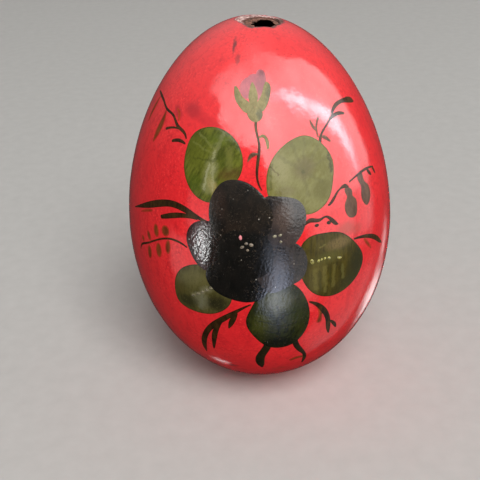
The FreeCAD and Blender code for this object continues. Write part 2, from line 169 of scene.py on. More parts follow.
hole = next(m for m in frame["record"]["mounts"] if m["name"] == "blow_hole")
HOLE_RADIUS = hole["dims"]["r_mm"]
hole_middle = np.array(hole["pos_m"]) / MM
POLE = hole_middle - CENTRE
HOLE_DEPTH = np.linalg.norm(POLE)
POLE = POLE / HOLE_DEPTH
EAST = np.array([1.0, 0, 0]) - POLE[0] * POLE
EAST = EAST / np.linalg.norm(EAST)
NORTH = np.cross(POLE, EAST)


def around(count):
    return np.linspace(0, 2 * math.pi, count, endpoint=False)


def toward(turns, degrees, narrowness=1.0):
    """1 on the side of the hole that faces an angle (0 is +X, 90 is away from the flower), 0 opposite."""
    return (0.5 + 0.5 * np.cos(turns - math.radians(degrees))) ** narrowness


def ragged(turns, waves, seed):
    """Ragged closed outline: noise round a circle with a number of lumps."""
    radius = waves / (2 * math.pi)
    place_in_noise = np.full(turns.shape, seed * 3.7)
    points = np.stack([radius * np.cos(turns), radius * np.sin(turns), place_in_noise], axis=-1)
    return wobble(points, 1.0, seed)


def polar_steps(first, growth, largest):
    """Shares of the way from the rim to the far pole: steps that grow to an even spacing."""
    steps = [0.0]
    step = first
    while steps[-1] < math.pi:
        steps.append(steps[-1] + step)
        step = min(step * growth, largest)
    return np.array(steps) / steps[-1]


def cup_points(rims, turns, shares, inset):
    """Rows of points round the egg at a depth, from a rim about the hole down, and the far pole."""
    start = np.arctan2(rims, HOLE_DEPTH)
    polar = start[None, :] + (math.pi - start[None, :]) * shares[:-1, None]
    out = np.cos(turns)[None, :, None] * EAST + np.sin(turns)[None, :, None] * NORTH
    directions = np.cos(polar)[..., None] * POLE + np.sin(polar)[..., None] * out
    starts = np.broadcast_to(CENTRE, directions.shape)
    points = meet_surface(starts, directions, 26.0)
    far = meet_surface(CENTRE[None, :], -POLE[None, :], 31.0)
    return points - normals_at(points) * inset, (far - normals_at(far) * inset)[0]


def lift_rows(rows, change):
    """Moves rows of points outwards by a change worked out from the points and their row numbers."""
    count = rows.shape[1]
    flat = rows.reshape(-1, 3)
    row_numbers = np.repeat(np.arange(rows.shape[0]), count)
    return (flat + normals_at(flat) * change(flat, row_numbers)[:, None]).reshape(rows.shape)


def edge_between(upper, lower, count, rough, seed):
    """Rows across a broken edge, roughened as they go."""
    rows = []
    for k in range(1, count + 1):
        share = k / (count + 1)
        row = upper * (1 - share) + lower * share
        lumps = rough * (wobble(row, 0.35, seed + k) + 0.6 * wobble(row, 0.15, seed + 20 + k))
        sideways = row - hole_middle
        sideways = sideways - np.sum(sideways * POLE, axis=-1, keepdims=True) * POLE
        sideways = sideways / np.linalg.norm(sideways, axis=-1, keepdims=True)
        rows.append(row + (sideways + 0.6 * POLE) * lumps[:, None])
    return rows


def make_cup(name, outer, inner, edge_rows):
    """Closed cup: rows of outer points, rows over its broken edge and rows of inner points.

    Two attributes go with it: how far a point is through the wall (0 outside, 1 inside) and
    how far it is from the rim in millimetres.
    """
    outer_rows, outer_far = outer
    inner_rows, inner_far = inner
    rows = list(outer_rows[::-1]) + list(edge_rows) + list(inner_rows)
    count = len(rows[0])
    through = [0.0] * len(outer_rows)
    through += [(k + 1) / (len(edge_rows) + 1) for k in range(len(edge_rows))]
    through += [1.0] * len(inner_rows)
    points = np.concatenate(rows + [outer_far[None, :], inner_far[None, :]])
    faces = grid_faces(len(rows), count)
    outer_pole = len(rows) * count
    last = (len(rows) - 1) * count
    for i in range(count):
        j = (i + 1) % count
        faces.append((outer_pole, j, i))
        faces.append((outer_pole + 1, last + i, last + j))
    rim_tree = tree_of(outer_rows[0])
    return make_object(name, points, faces, {
        "through": np.concatenate([np.repeat(through, count), [0.0, 1.0]]),
        "rim_mm": np.array([rim_tree.find(Vector(p))[2] for p in points]),
    })


def flakes(turns):
    """Two chips out of the front of the rim."""
    return 0.62 * toward(turns, -115, 80) + 0.4 * toward(turns, -62, 120)


def make_lacquer():
    """Red coat, flaked back from the hole, most of all behind it."""
    turns = around(360)
    rims = HOLE_RADIUS + 0.08 + 0.2 * toward(turns, 155, 2) + flakes(turns)
    rims += 1.3 * toward(turns, 84, 2)
    rims += 0.18 * ragged(turns, 14, 3) + 0.18 * ragged(turns, 34, 4) + 0.08 * ragged(turns, 95, 5)
    rims = np.maximum(rims, HOLE_RADIUS + 0.02)
    outer_points, outer_far = cup_points(rims, turns, polar_steps(0.0016, 1.16, 0.0165), 0.0)
    outer_points = lift_rows(outer_points, lambda p, row: relief(p) - 0.05 * (1 - smooth_step(row / 5)))
    inner = cup_points(rims - 0.03, turns, polar_steps(0.02, 1.3, 0.14), COAT)
    edge = edge_between(outer_points[0], inner[0][0], 2, 0.02, 5)
    return make_cup("lacquer", (outer_points, outer_far), inner, edge)


def make_shell():
    """White shell with a crumbled edge, a ledge that slopes into the hole on its left and behind."""
    turns = around(480)
    slope = toward(turns, 132, 2.2)
    notches = flakes(turns)
    jag = 0.14 * ragged(turns, 14, 6) + 0.13 * ragged(turns, 34, 7) + 0.08 * ragged(turns, 90, 8)
    rims = HOLE_RADIUS - 0.1 + 0.16 * slope + jag
    outer_rims = rims + 0.3 * notches
    outer_points, outer_far = cup_points(outer_rims, turns, polar_steps(0.0024, 1.08, 0.1), COAT + GAP)

    def crumble(points, row):
        crumbs = 0.06 * wobble(points, 0.55, 11) + 0.045 * wobble(points, 0.22, 12)
        return (1 - smooth_step(row / 26)) * crumbs - 0.07 * (1 - smooth_step(row / 9))

    outer_points = lift_rows(outer_points, crumble)
    inner_rims = HOLE_RADIUS - 0.12 - 1.25 * slope + notches + 0.8 * jag + 0.07 * ragged(turns, 40, 9)
    inner_rims -= slope * (0.5 * np.abs(ragged(turns, 18, 10)) + 0.25 * ragged(turns, 50, 22))
    inner = cup_points(inner_rims, turns, polar_steps(0.006, 1.3, 0.12), COAT + SHELL)
    edge = edge_between(outer_points[0], inner[0][0], 8, 0.1, 13)
    return make_cup("shell", (outer_points, outer_far), inner, edge)


def make_lining():
    """Dried lining, torn and sagging on the left of the hole."""
    turns = around(288)
    left = toward(turns, 190)
    rims = HOLE_RADIUS - 0.3 - 1.2 * left ** 2 - 1.75 * toward(turns, 92, 1.5)
    rims += 0.45 * ragged(turns, 11, 14) + 0.5 * ragged(turns, 24, 15) + 0.22 * ragged(turns, 60, 16)
    outer = COAT + SHELL + GAP
    top = cup_points(rims, turns, polar_steps(0.006, 1.25, 0.1), outer)
    under = cup_points(rims + 0.02, turns, polar_steps(0.006, 1.25, 0.1), outer + LINING)
    droop = np.clip(0.35 * left + 0.14 * ragged(turns, 12, 17), 0, None)
    for points, _ in (top, under):
        for row, share in enumerate((1.0, 0.8, 0.55, 0.3, 0.12)):
            points[row] -= POLE * (droop * share)[:, None]
    edge = edge_between(top[0][0], under[0][0], 1, 0.02, 18)
    return make_cup("lining", top, under, edge)


# ---- paint films

def film_outlines(node):
    """Closed outlines, in millimetres, round the outer faces of a CAD paint film."""
    mesh = bmesh.new()
    mesh.from_mesh(frame["nodes"][node].data)
    bmesh.ops.remove_doubles(mesh, verts=mesh.verts, dist=1e-6)
    mesh.verts.index_update()
    points = np.array([v.co[:] for v in mesh.verts]) / MM
    high = height_above(points) > 0.5 * PAINT
    outer = {f.index for f in mesh.faces if all(high[v.index] for v in f.verts)}
    links = {}
    for edge in mesh.edges:
        if sum(f.index in outer for f in edge.link_faces) == 1:
            a, b = edge.verts[0].index, edge.verts[1].index
            links.setdefault(a, []).append(b)
            links.setdefault(b, []).append(a)
    mesh.free()
    outlines = []
    while links:
        start = next(iter(links))
        loop = [start]
        here = start
        while links.get(here):
            there = links[here].pop()
            links[there].remove(here)
            if not links[here]:
                del links[here]
            here = there
            loop.append(here)
        links.pop(here, None)
        if len(loop) > 4:
            outlines.append(points[loop[:-1]])
    return outlines


def tangent_frame(points):
    """Origin on the egg and axes (right, up, out) of a plane that a group of points lies near."""
    middle = points.mean(axis=0)
    direction = (middle - CENTRE) / np.linalg.norm(middle - CENTRE)
    origin = meet_surface(CENTRE[None, :], direction[None, :], 25.0)[0]
    out = normals_at(origin[None, :])[0]
    right = np.cross([0.0, 0.0, 1.0], out)
    right = right / np.linalg.norm(right)
    return origin, right, np.cross(out, right), out


def spread(loop, spacing):
    """Closed 2-D outline with points added so that none are farther apart than the spacing."""
    filled = []
    for a, b in zip(loop, np.roll(loop, -1, axis=0)):
        pieces = max(1, int(math.ceil(np.linalg.norm(b - a) / spacing)))
        for k in range(pieces):
            filled.append(a + (b - a) * k / pieces)
    return np.array(filled)


def area(loop):
    x, y = loop[:, 0], loop[:, 1]
    return 0.5 * np.sum(x * np.roll(y, -1) - np.roll(x, -1) * y)


def holds(loop, point):
    """Whether a 2-D outline goes round a point."""
    x, y = loop[:, 0], loop[:, 1]
    x2, y2 = np.roll(x, -1), np.roll(y, -1)
    crossing = (y > point[1]) != (y2 > point[1])
    with np.errstate(divide="ignore", invalid="ignore"):
        at = x + (point[1] - y) * (x2 - x) / (y2 - y)
    return bool(np.count_nonzero(crossing & (point[0] < at)) % 2)


def tree_of(points):
    """Tree for finding the nearest of some points, or None if there are none."""
    if len(points) == 0:
        return None
    tree = KDTree(len(points))
    for i, p in enumerate(points):
        tree.insert(Vector(p), i)
    tree.balance()
    return tree


class Film:
    """A painted mark: its outlines on the egg, how thick the paint lies, how far apart its points are,
    how wide its soft border is and, unless it is None, what its brush marks add to its height."""

    def __init__(self, node, paint, thickness, spacing, soft, brush=None):
        self.node = node
        self.paint = paint
        self.thickness = thickness
        self.spacing = spacing
        self.soft = soft
        self.brush = brush
        outlines = film_outlines(node)
        self.origin, self.right, self.up, self.out = tangent_frame(np.concatenate(outlines))
        flat = [self.flatten(points) for points in outlines]
        self.loops = []
        for i, loop in enumerate(flat):
            inside_another = any(holds(other, loop[0]) for k, other in enumerate(flat) if k != i)
            if not inside_another:
                loop = loop if area(loop) > 0 else loop[::-1]
                self.loops.append(spread(loop, spacing))

    def flatten(self, points):
        offset = points - self.origin
        return np.stack([offset @ self.right, offset @ self.up], axis=-1)

    def raise_up(self, flat):
        """Points on the egg from points in this film's plane."""
        starts = self.origin + flat[:, :1] * self.right + flat[:, 1:2] * self.up
        directions = np.broadcast_to(self.out, starts.shape)
        return meet_surface(starts, directions, 0.0)

    def border(self):
        return np.concatenate([self.raise_up(loop) for loop in self.loops])


def fill(loop, spacing):
    """Points and triangles that fill a 2-D outline on an even grid."""
    low, high = loop.min(axis=0), loop.max(axis=0)
    edge_tree = tree_of([(p[0], p[1], 0) for p in loop])
    inner = []
    row_height = spacing * math.sqrt(0.75)
    rows = int((high[1] - low[1]) / row_height) + 1
    columns = int((high[0] - low[0]) / spacing) + 2
    for r in range(rows):
        y = low[1] + r * row_height
        for c in range(columns):
            x = low[0] + (c + 0.5 * (r % 2)) * spacing
            if holds(loop, (x, y)) and edge_tree.find((x, y, 0))[2] > 0.6 * spacing:
                inner.append((x, y))
    vertices = [Vector(p) for p in loop] + [Vector(p) for p in inner]
    ring = [(i, (i + 1) % len(loop)) for i in range(len(loop))]
    result = delaunay_2d_cdt(vertices, ring, [], 1, 1e-6)
    return np.array([v[:] for v in result[0]]), [tuple(f) for f in result[2]]


def distances(points, tree):
    """How far each point is from the nearest in a tree; large where there is none."""
    if tree is None:
        return np.full(len(points), 99.0)
    return np.array([tree.find(Vector(p))[2] for p in points])


def outer_ring(faces):
    """Edges of a group of triangles that only one triangle has, in that triangle's direction."""
    used = {(a, b) for f in faces for a, b in zip(f, f[1:] + f[:1])}
    return [pair for pair in used if (pair[1], pair[0]) not in used]


def make_film(film, earlier, later):
    """Builds one mark as a closed skin with soft edges, over earlier marks and under later ones."""
    points_all = []
    faces_all = []
    edge_all = []
    creases = set()
    start = 0
    for loop in film.loops:
        flat, faces = fill(loop, film.spacing)
        base = film.raise_up(flat)
        border = film.raise_up(loop)
        over_later = distances(border, later) < SHARED_BORDER
        over_earlier = distances(border, earlier) < SHARED_BORDER
        d_free = distances(base, tree_of(border[~over_later & ~over_earlier]))
        d_over = distances(base, tree_of(border[over_earlier & ~over_later]))
        profile = 0.3 + 0.7 * smooth_step(d_free / film.soft)
        ridge = 0.1 * (1 - smooth_step(d_over / 1.3)) * (0.45 + 0.55 * smooth_step(d_over / 0.25))
        height = film.thickness * (profile + ridge)
        if film.brush:
            height += film.brush(base)
        lift = relief(base)
        out = normals_at(base)
        top = base + out * (lift + np.maximum(height, 0.01))[:, None]
        ring = outer_ring(faces)
        rim = sorted({a for pair in ring for a in pair})
        foot_of = {a: len(flat) + k for k, a in enumerate(rim)}
        feet = base[rim] + out[rim] * (lift[rim] - 0.05)[:, None]
        skirts = [(b, a, foot_of[a], foot_of[b]) for a, b in ring]
        points_all.append(np.concatenate([top, feet]))
        faces_all += [tuple(i + start for i in f) for f in list(faces) + skirts]
        edge_all.append(np.concatenate([d_free, np.zeros(len(feet))]))
        creases |= {(min(a, b) + start, max(a, b) + start) for a, b in ring}
        start += len(top) + len(feet)
    obj = make_object(film.node + "_paint", np.concatenate(points_all), faces_all,
                      {"edge_mm": np.concatenate(edge_all)})
    for edge in obj.data.edges:
        edge.use_edge_sharp = tuple(sorted(edge.vertices)) in creases
    return obj


def brushed(angle, size, depth, seed):
    """Brush ridges that run at an angle in the front view, from +X towards +Z."""
    turn = math.radians(angle)

    def ridges(points):
        along = points[:, 0] * math.cos(turn) + points[:, 2] * math.sin(turn)
        across = -points[:, 0] * math.sin(turn) + points[:, 2] * math.cos(turn)
        stretched = np.stack([along * 0.18, across, points[:, 1] * 0.3], axis=-1)
        return depth * wobble(stretched, size, seed)
    return ridges


# ---- materials

def rgb(r, g, b):
    """Linear colour from 0..255 display values."""
    def linear(c):
        c = c / 255
        return c / 12.92 if c <= 0.04045 else ((c + 0.055) / 1.055) ** 2.4
    return (linear(r), linear(g), linear(b), 1.0)


class Shader:
    """Adds nodes to one new material and joins them. Positions in it are in millimetres."""

    def __init__(self, name):
        self.material = bpy.data.materials.new(name)
        self.material.use_nodes = True
        self.tree = self.material.node_tree
        self.tree.nodes.clear()
        in_metres = self.node("TexCoord", [], "Object")
        self.position = self.vector_math("MULTIPLY", in_metres, (1 / MM, 1 / MM, 1 / MM))
        self.front = None

    def feed(self, socket, value):
        if isinstance(value, bpy.types.NodeSocket):
            self.tree.links.new(value, socket)
        else:
            socket.default_value = value

    def node(self, kind, inputs, output=0, **settings):
        """One output of a new node; inputs are pairs of a socket's name or number and what goes into it."""
        made = self.tree.nodes.new("ShaderNode" + kind)
        for name, value in settings.items():
            setattr(made, name, value)
        for socket, value in inputs:
            self.feed(made.inputs[socket], value)
        return made.outputs[output]

    def math(self, operation, a, b=0.0, clamp=False):
        return self.node("Math", [(0, a), (1, b)], operation=operation, use_clamp=clamp)

    def vector_math(self, operation, a, b=(0.0, 0.0, 0.0), output=0):
        return self.node("VectorMath", [(0, a), (1, b)], output, operation=operation)

    def scaled(self, vector, factor):
        return self.node("VectorMath", [(0, vector), ("Scale", factor)], operation="SCALE")

    def part(self, vector, axis):
        return self.node("SeparateXYZ", [(0, vector)], axis)

    def mapping(self, vector, scale=(1, 1, 1), rotation=(0, 0, 0)):
        turns = [math.radians(r) for r in rotation]
        return self.node("Mapping", [("Vector", vector), ("Rotation", turns), ("Scale", scale)])

    def noise(self, size, detail=2.0, roughness=0.5, place=None, output=0):
        """Noise with lumps of about a size in millimetres; values centre on 0.5."""
        place = self.position if place is None else place
        return self.node("TexNoise", [("Vector", place), ("Scale", 1.0 / size),
                                      ("Detail", detail), ("Roughness", roughness)], output)

    def cells(self, size, output="Distance"):
        return self.node("TexVoronoi", [("Vector", self.position), ("Scale", 1.0 / size)], output)

    def fade(self, value, start, end, low=0.0, high=1.0):
        """Smooth change from low to high as a value goes from start to end."""
        inputs = [("Value", value), ("From Min", start), ("From Max", end), ("To Min", low), ("To Max", high)]
        return self.node("MapRange", inputs, interpolation_type="SMOOTHSTEP")

    def mix(self, factor, a, b):
        """Mix of two colours, each a socket or display values."""
        a, b = (rgb(*colour) if isinstance(colour, tuple) else colour for colour in (a, b))
        return self.node("Mix", [(0, factor), (6, a), (7, b)], 2, data_type="RGBA")

    def times(self, a, b):
        return self.math("MULTIPLY", a, b)

    def attribute(self, name):
        return self.node("Attribute", [], "Fac", attribute_name=name)

    def bump(self, height, distance):
        """Bump whose height of 0..1 stands for a distance in millimetres."""
        return self.node("Bump", [("Distance", distance * MM), ("Height", height)])

    def front_place(self):
        """Place in the front view (X and Z), made a little shaky like a hand-drawn line."""
        if self.front is None:
            flat = self.vector_math("MULTIPLY", self.position, (1.0, 0.0, 1.0))
            shake = self.vector_math("SUBTRACT", self.noise(0.9, 3, 0.6, output=1), (0.5, 0.5, 0.5))
            shake = self.vector_math("MULTIPLY", shake, (0.9, 0.0, 0.9))
            self.front = self.vector_math("ADD", flat, shake)
        return self.front

    def blot(self, colour, middle, half_size, paint, strength, lean=0):
        """Adds a soft-edged patch; its middle is (x, z) and its lean is in degrees."""
        offset = self.vector_math("SUBTRACT", self.front_place(), (middle[0], 0.0, middle[1]))
        turned = self.mapping(offset, (1, 1, 1), (0, lean, 0))
        shrunk = self.vector_math("MULTIPLY", turned, (1.0 / half_size[0], 0.0, 1.0 / half_size[1]))
        far = self.vector_math("LENGTH", shrunk, output=1)
        return self.mix(self.fade(far, 1.25, 0.35, 0.0, strength), colour, paint)

    def line(self, colour, start, end, half_width, paint, strength):
        """Adds a brushed line between two places (x, z)."""
        run = np.array([end[0] - start[0], 0.0, end[1] - start[1]])
        offset = self.vector_math("SUBTRACT", self.front_place(), (start[0], 0.0, start[1]))
        share = self.vector_math("DOT_PRODUCT", offset, tuple(run / (run @ run)), output=1)
        share = self.math("ADD", share, 0.0, clamp=True)
        nearest = self.scaled(tuple(run), share)
        far = self.vector_math("LENGTH", self.vector_math("SUBTRACT", offset, nearest), output=1)
        return self.mix(self.fade(far, half_width * 1.5, half_width * 0.3, 0.0, strength), colour, paint)

    def finish(self, **sockets):
        """Principled surface; keys are socket names with _ for spaces."""
        inputs = [(key.replace("_", " "), value) for key, value in sockets.items()]
        surface = self.node("BsdfPrincipled", inputs + [("Coat Normal", sockets["Normal"])])
        return self.end(surface)

    def end(self, surface):
        output = self.tree.nodes.new("ShaderNodeOutputMaterial")
        self.tree.links.new(surface, output.inputs[0])
        return self.material


def specks(s, size, share, radius):
    """Scattered round specks: 1 inside a speck. Share is how many cells hold one."""
    chance = s.part(s.cells(size, "Color"), 0)
    ragged_edge = s.times(s.noise(size * 0.3), 0.3)
    inside = s.fade(s.math("ADD", s.cells(size), ragged_edge), radius + 0.15, radius + 0.05)
    return s.times(inside, s.math("LESS_THAN", chance, share))


def lacquer_material():
    """Scarlet lacquer with brushed clouds, fine grain, a few smudges on its front and grime at its rim."""
    s = Shader("red_lacquer")
    clouds = s.noise(9.0, 3, 0.55)
    streaks = s.noise(1.3, 3, 0.6, s.mapping(s.position, (1.0, 1.0, 0.2), (14, 10, 0)))
    mottles = s.noise(0.9, 4, 0.62)
    colour = s.mix(s.fade(clouds, 0.35, 0.68), (228, 32, 38), (236, 38, 42))
    colour = s.mix(s.fade(streaks, 0.5, 0.72, 0.0, 0.45), colour, (200, 14, 26))
    colour = s.mix(s.fade(mottles, 0.5, 0.72, 0.0, 0.42), colour, (186, 12, 24))
    fine = s.noise(0.42, 3, 0.7)
    patchy = s.fade(s.noise(4.0, 3, 0.6), 0.38, 0.62, 0.15, 0.6)
    colour = s.mix(s.times(s.fade(fine, 0.53, 0.67), patchy), colour, (184, 14, 26))
    colour = s.mix(s.times(s.fade(fine, 0.46, 0.34), patchy), colour, (250, 64, 62))
    scratches = s.noise(0.45, 2, 0.6, s.mapping(s.position, (1.0, 1.0, 0.1), (-24, 8, 12)))
    colour = s.mix(s.fade(scratches, 0.6, 0.76, 0.0, 0.3), colour, (176, 20, 30))
    smudges = [
        ((-9.4, 52.8), (1.5, 1.1), (168, 10, 26), 0.75, 20),
        ((-11.7, 52.0), (0.7, 0.9), (150, 8, 24), 0.6),
        ((-7.4, 51.8), (2.6, 0.9), (190, 14, 28), 0.6, -20),
        ((12.4, 35.2), (1.7, 1.2), (150, 52, 24), 0.55, -20),
        ((14.2, 34.4), (0.9, 1.0), (160, 48, 26), 0.45),
        ((-3.0, 60.6), (0.35, 0.9), (92, 14, 14), 0.9, -20),
        ((-2.6, 59.2), (0.35, 0.8), (130, 16, 20), 0.7, -20),
        ((-5.6, 9.4), (1.1, 0.5), (120, 14, 20), 0.6),
        ((2.2, 8.6), (1.4, 0.6), (150, 60, 28), 0.35),
    ]
    marked = colour
    for smudge in smudges:
        marked = s.blot(marked, *smudge)
    in_front = s.math("LESS_THAN", s.part(s.position, 1), 0.0)
    colour = s.mix(in_front, colour, marked)
    spots = s.math("MAXIMUM", specks(s, 1.3, 0.16, 0.09), specks(s, 3.1, 0.22, 0.06))
    colour = s.mix(s.times(spots, 0.7), colour, (92, 8, 16))
    grime = s.math("ADD", s.attribute("rim_mm"), s.times(mottles, 1.6))
    colour = s.mix(s.fade(grime, 1.15, 0.75, 0.0, 0.8), colour, (104, 26, 22))
    lumps = s.noise(1.3, 2, 0.5)
    height = s.math("ADD", lumps, s.times(mottles, 0.3))
    height = s.math("ADD", height, s.times(scratches, 0.15))
    return s.finish(Base_Color=colour, Roughness=0.42, Specular_IOR_Level=0.1, Normal=s.bump(height, 0.024),
                    Coat_Weight=1.0, Coat_Roughness=0.1)


def shell_material():
    """Pale where the break faces the light on the left and behind, with painted shade in dark brown elsewhere
    and deeper into the hole.
    """
    s = Shader("broken_shell")
    lumps = s.noise(0.45, 4, 0.7)
    patches = s.noise(0.7, 3, 0.65)
    colour = s.mix(s.fade(lumps, 0.36, 0.62), (176, 122, 118), (244, 224, 216))
    colour = s.mix(s.fade(patches, 0.47, 0.6, 0.0, 0.85), colour, (124, 74, 66))
    # Painted shade: darker brown deeper through the wall and down into the hole.
    shade_depth = s.math("ADD", s.attribute("through"), s.times(patches, 0.9))
    colour = s.mix(s.fade(shade_depth, 0.75, 1.15), colour, (96, 56, 46))
    colour = s.mix(s.fade(shade_depth, 1.15, 1.45), colour, (52, 34, 26))
    # Painted shade: dark brown on the side of the break turned away from the light.
    lit_side_angle = math.radians(125)
    from_middle = s.vector_math("SUBTRACT", s.position, tuple(hole_middle))
    lit_direction = (math.cos(lit_side_angle), math.sin(lit_side_angle), 0.0)
    side = s.vector_math("DOT_PRODUCT", from_middle, lit_direction, output=1)
    side = s.math("ADD", side, s.times(patches, 2.0))
    colour = s.mix(s.fade(side, 1.9, 0.5, 0.0, 0.92), colour, (64, 40, 32))
    return s.finish(Base_Color=colour, Roughness=0.8, Specular_IOR_Level=0.3, Normal=s.bump(lumps, 0.1))


def lining_material():
    """Brown crumbled skin, with painted shade that darkens it towards its middle, deeper in the hole."""
    s = Shader("dried_lining")
    lumps = s.noise(0.4, 4, 0.65)
    colour = s.mix(s.fade(lumps, 0.38, 0.62), (48, 32, 24), (132, 92, 76))
    # Painted shade: darker away from the rim, deeper inside the egg.
    inwards = s.fade(s.attribute("rim_mm"), 0.4, 2.4)
    colour = s.mix(s.times(inwards, 0.85), colour, (60, 42, 34))
    return s.finish(Base_Color=colour, Roughness=0.7, Specular_IOR_Level=0.3, Normal=s.bump(lumps, 0.05))


def paint_material(name, dark, light, edge, angle=90, streak=0.5, wrinkle=0.028, grain=0.42, coat=0.4,
                   coat_roughness=0.14, rim=0.28, rim_strength=0.7, blots=(), lines=(), glints=0.0):
    """Brushed paint: bristle streaks at an angle, soft patches and brushed lines (what blot and line take,
    less the colour they go on), a rim of another colour, a fine wrinkled skin and, in a share of places,
    painted glints: small pale specks and pale brown hairlines in clusters."""
    s = Shader(name)
    along = s.mapping(s.position, (1, 1, 1), (0, angle, 0))
    bristles = s.noise(0.5, 3, 0.6, s.mapping(along, (0.16, 1, 1)))
    patches = s.noise(2.2, 3, 0.55)
    amount = s.math("ADD", s.times(bristles, streak), s.times(patches, 1 - streak))
    colour = s.mix(s.fade(amount, 0.36, 0.64), dark, light)
    fibres = s.noise(0.3, 3, 0.7, s.mapping(along, (0.45, 1, 1)))
    for blot in blots:
        colour = s.blot(colour, *blot)
    for line in lines:
        colour = s.line(colour, *line)
    colour = s.mix(s.fade(s.attribute("edge_mm"), 0.0, rim, rim_strength, 0.0), colour, edge)
    colour = s.mix(s.fade(fibres, 0.52, 0.66, 0.0, 0.4), colour, dark)
    colour = s.mix(s.fade(fibres, 0.48, 0.34, 0.0, 0.35), colour, light)
    crinkle = s.noise(grain, 2, 0.5)
    height = s.math("ADD", s.times(crinkle, 0.75), s.times(bristles, 0.25))
    if glints > 0:
        # Painted glints: pale specks and pale brown hairlines, gathered in clusters, stand for sparkle in the
        # varnish.
        glint_specks = s.math("MAXIMUM", specks(s, 0.7, glints, 0.16), specks(s, 1.5, glints, 0.09))
        clusters = s.fade(s.noise(4.0, 2, 0.5), 0.42, 0.6, 0.15, 0.85)
        sparkle_hairs = s.times(s.fade(s.noise(0.34, 3, 0.75, along), 0.58, 0.7, 0.0, 0.6), clusters)
        colour = s.mix(sparkle_hairs, colour, (104, 88, 74))
        colour = s.mix(s.times(glint_specks, clusters), colour, (206, 198, 184))
    return s.finish(Base_Color=colour, Roughness=0.5, Specular_IOR_Level=0.03, Normal=s.bump(height, wrinkle),
                    Coat_Weight=coat, Coat_Roughness=coat_roughness)


def dot_material(name, pale, dark):
    """Small raised dot of thick paint."""
    s = Shader(name)
    lumps = s.noise(0.25, 3, 0.6)
    colour = s.mix(s.fade(lumps, 0.3, 0.7), dark, pale)
    return s.finish(Base_Color=colour, Roughness=0.45, Specular_IOR_Level=0.3, Normal=s.bump(lumps, 0.03),
                    Coat_Weight=0.5, Coat_Roughness=0.15)


def upper_left_leaf():
    """Olive leaf with a pale feathered vein, painted as a highlight streak along its middle, and a brown
    corner under the flower.
    """
    # Painted highlight: the pale lines along the leaf's middle stand for a highlight streak; the darker lines
    # are veins.
    pale = (146, 144, 98)
    blots = [
        ((-9.4, 47.8), (1.5, 2.4), (86, 90, 20), 0.75),
        ((-6.0, 49.6), (2.0, 1.0), (92, 104, 30), 0.5),
        ((-4.4, 45.2), (2.2, 1.1), (88, 62, 30), 0.65, 10),
        ((-5.4, 47.0), (1.2, 1.4), (66, 74, 16), 0.6),
        ((-9.6, 43.6), (1.2, 1.4), (74, 88, 18), 0.6, -20),
        ((-7.0, 43.2), (0.8, 1.6), (158, 138, 84), 0.75, 20),
    ]
    lines = [
        ((-5.1, 50.4), (-6.6, 47.8), 0.3, pale, 0.32),
        ((-6.4, 48.6), (-7.1, 45.8), 0.5, pale, 0.18),
        ((-6.5, 48.2), (-7.2, 45.2), 0.14, (172, 170, 128), 0.45),
        ((-7.1, 46.2), (-7.8, 43.2), 0.9, pale, 0.5),
        ((-7.4, 46.4), (-8.4, 43.0), 0.16, (176, 174, 138), 0.4),
        ((-6.8, 46.0), (-7.2, 42.8), 0.14, (172, 168, 130), 0.35),
        ((-4.4, 48.4), (-4.6, 46.0), 0.5, (118, 116, 58), 0.4),
        ((-6.4, 48.2), (-8.6, 50.2), 0.2, (124, 126, 66), 0.4),
        ((-6.6, 47.6), (-9.4, 48.9), 0.16, (120, 122, 62), 0.35),
        ((-6.8, 46.9), (-9.6, 46.9), 0.18, (56, 62, 12), 0.5),
        ((-6.0, 47.2), (-4.4, 49.6), 0.16, (60, 66, 14), 0.45),
    ]
    return paint_material("olive_paint", (60, 66, 12), (100, 104, 32), (40, 38, 12), 62, 0.65,
                          blots=blots, lines=lines)


def upper_right_leaf():
    """Sage leaf with a grey-brown middle and dark veins that fan upwards."""
    vein = (78, 76, 40)
    blots = [
        # The first patch, pale grey at the top left, is a painted sheen.
        ((2.6, 45.8), (1.7, 2.6), (140, 134, 90), 0.7, 20),
        ((6.2, 45.4), (1.9, 1.7), (104, 92, 60), 0.7),
        ((8.8, 42.0), (1.8, 1.6), (96, 92, 44), 0.7),
        ((5.5, 48.6), (2.6, 1.0), (92, 92, 40), 0.5),
        ((3.4, 42.6), (1.8, 0.9), (108, 98, 64), 0.5),
    ]
    tips = [(2.6, 47.4), (4.4, 49.0), (6.4, 49.2), (8.6, 48.2), (9.8, 46.2), (8.8, 43.0), (6.6, 41.6)]
    fan = [((6.0, 45.0), tip, 0.26, vein, 0.28) for tip in tips]
    lines = fan + [
        ((1.1, 43.2), (1.5, 46.4), 0.22, (70, 68, 34), 0.45),
        ((1.2, 46.2), (2.4, 45.0), 0.12, (80, 64, 36), 0.65),
        ((10.3, 44.2), (9.9, 46.6), 0.25, (50, 46, 26), 0.75),
    ]
    return paint_material("sage_paint", (106, 102, 48), (126, 122, 72), (70, 66, 32), 55, 0.45,
                          coat=0.38, blots=blots, lines=lines)


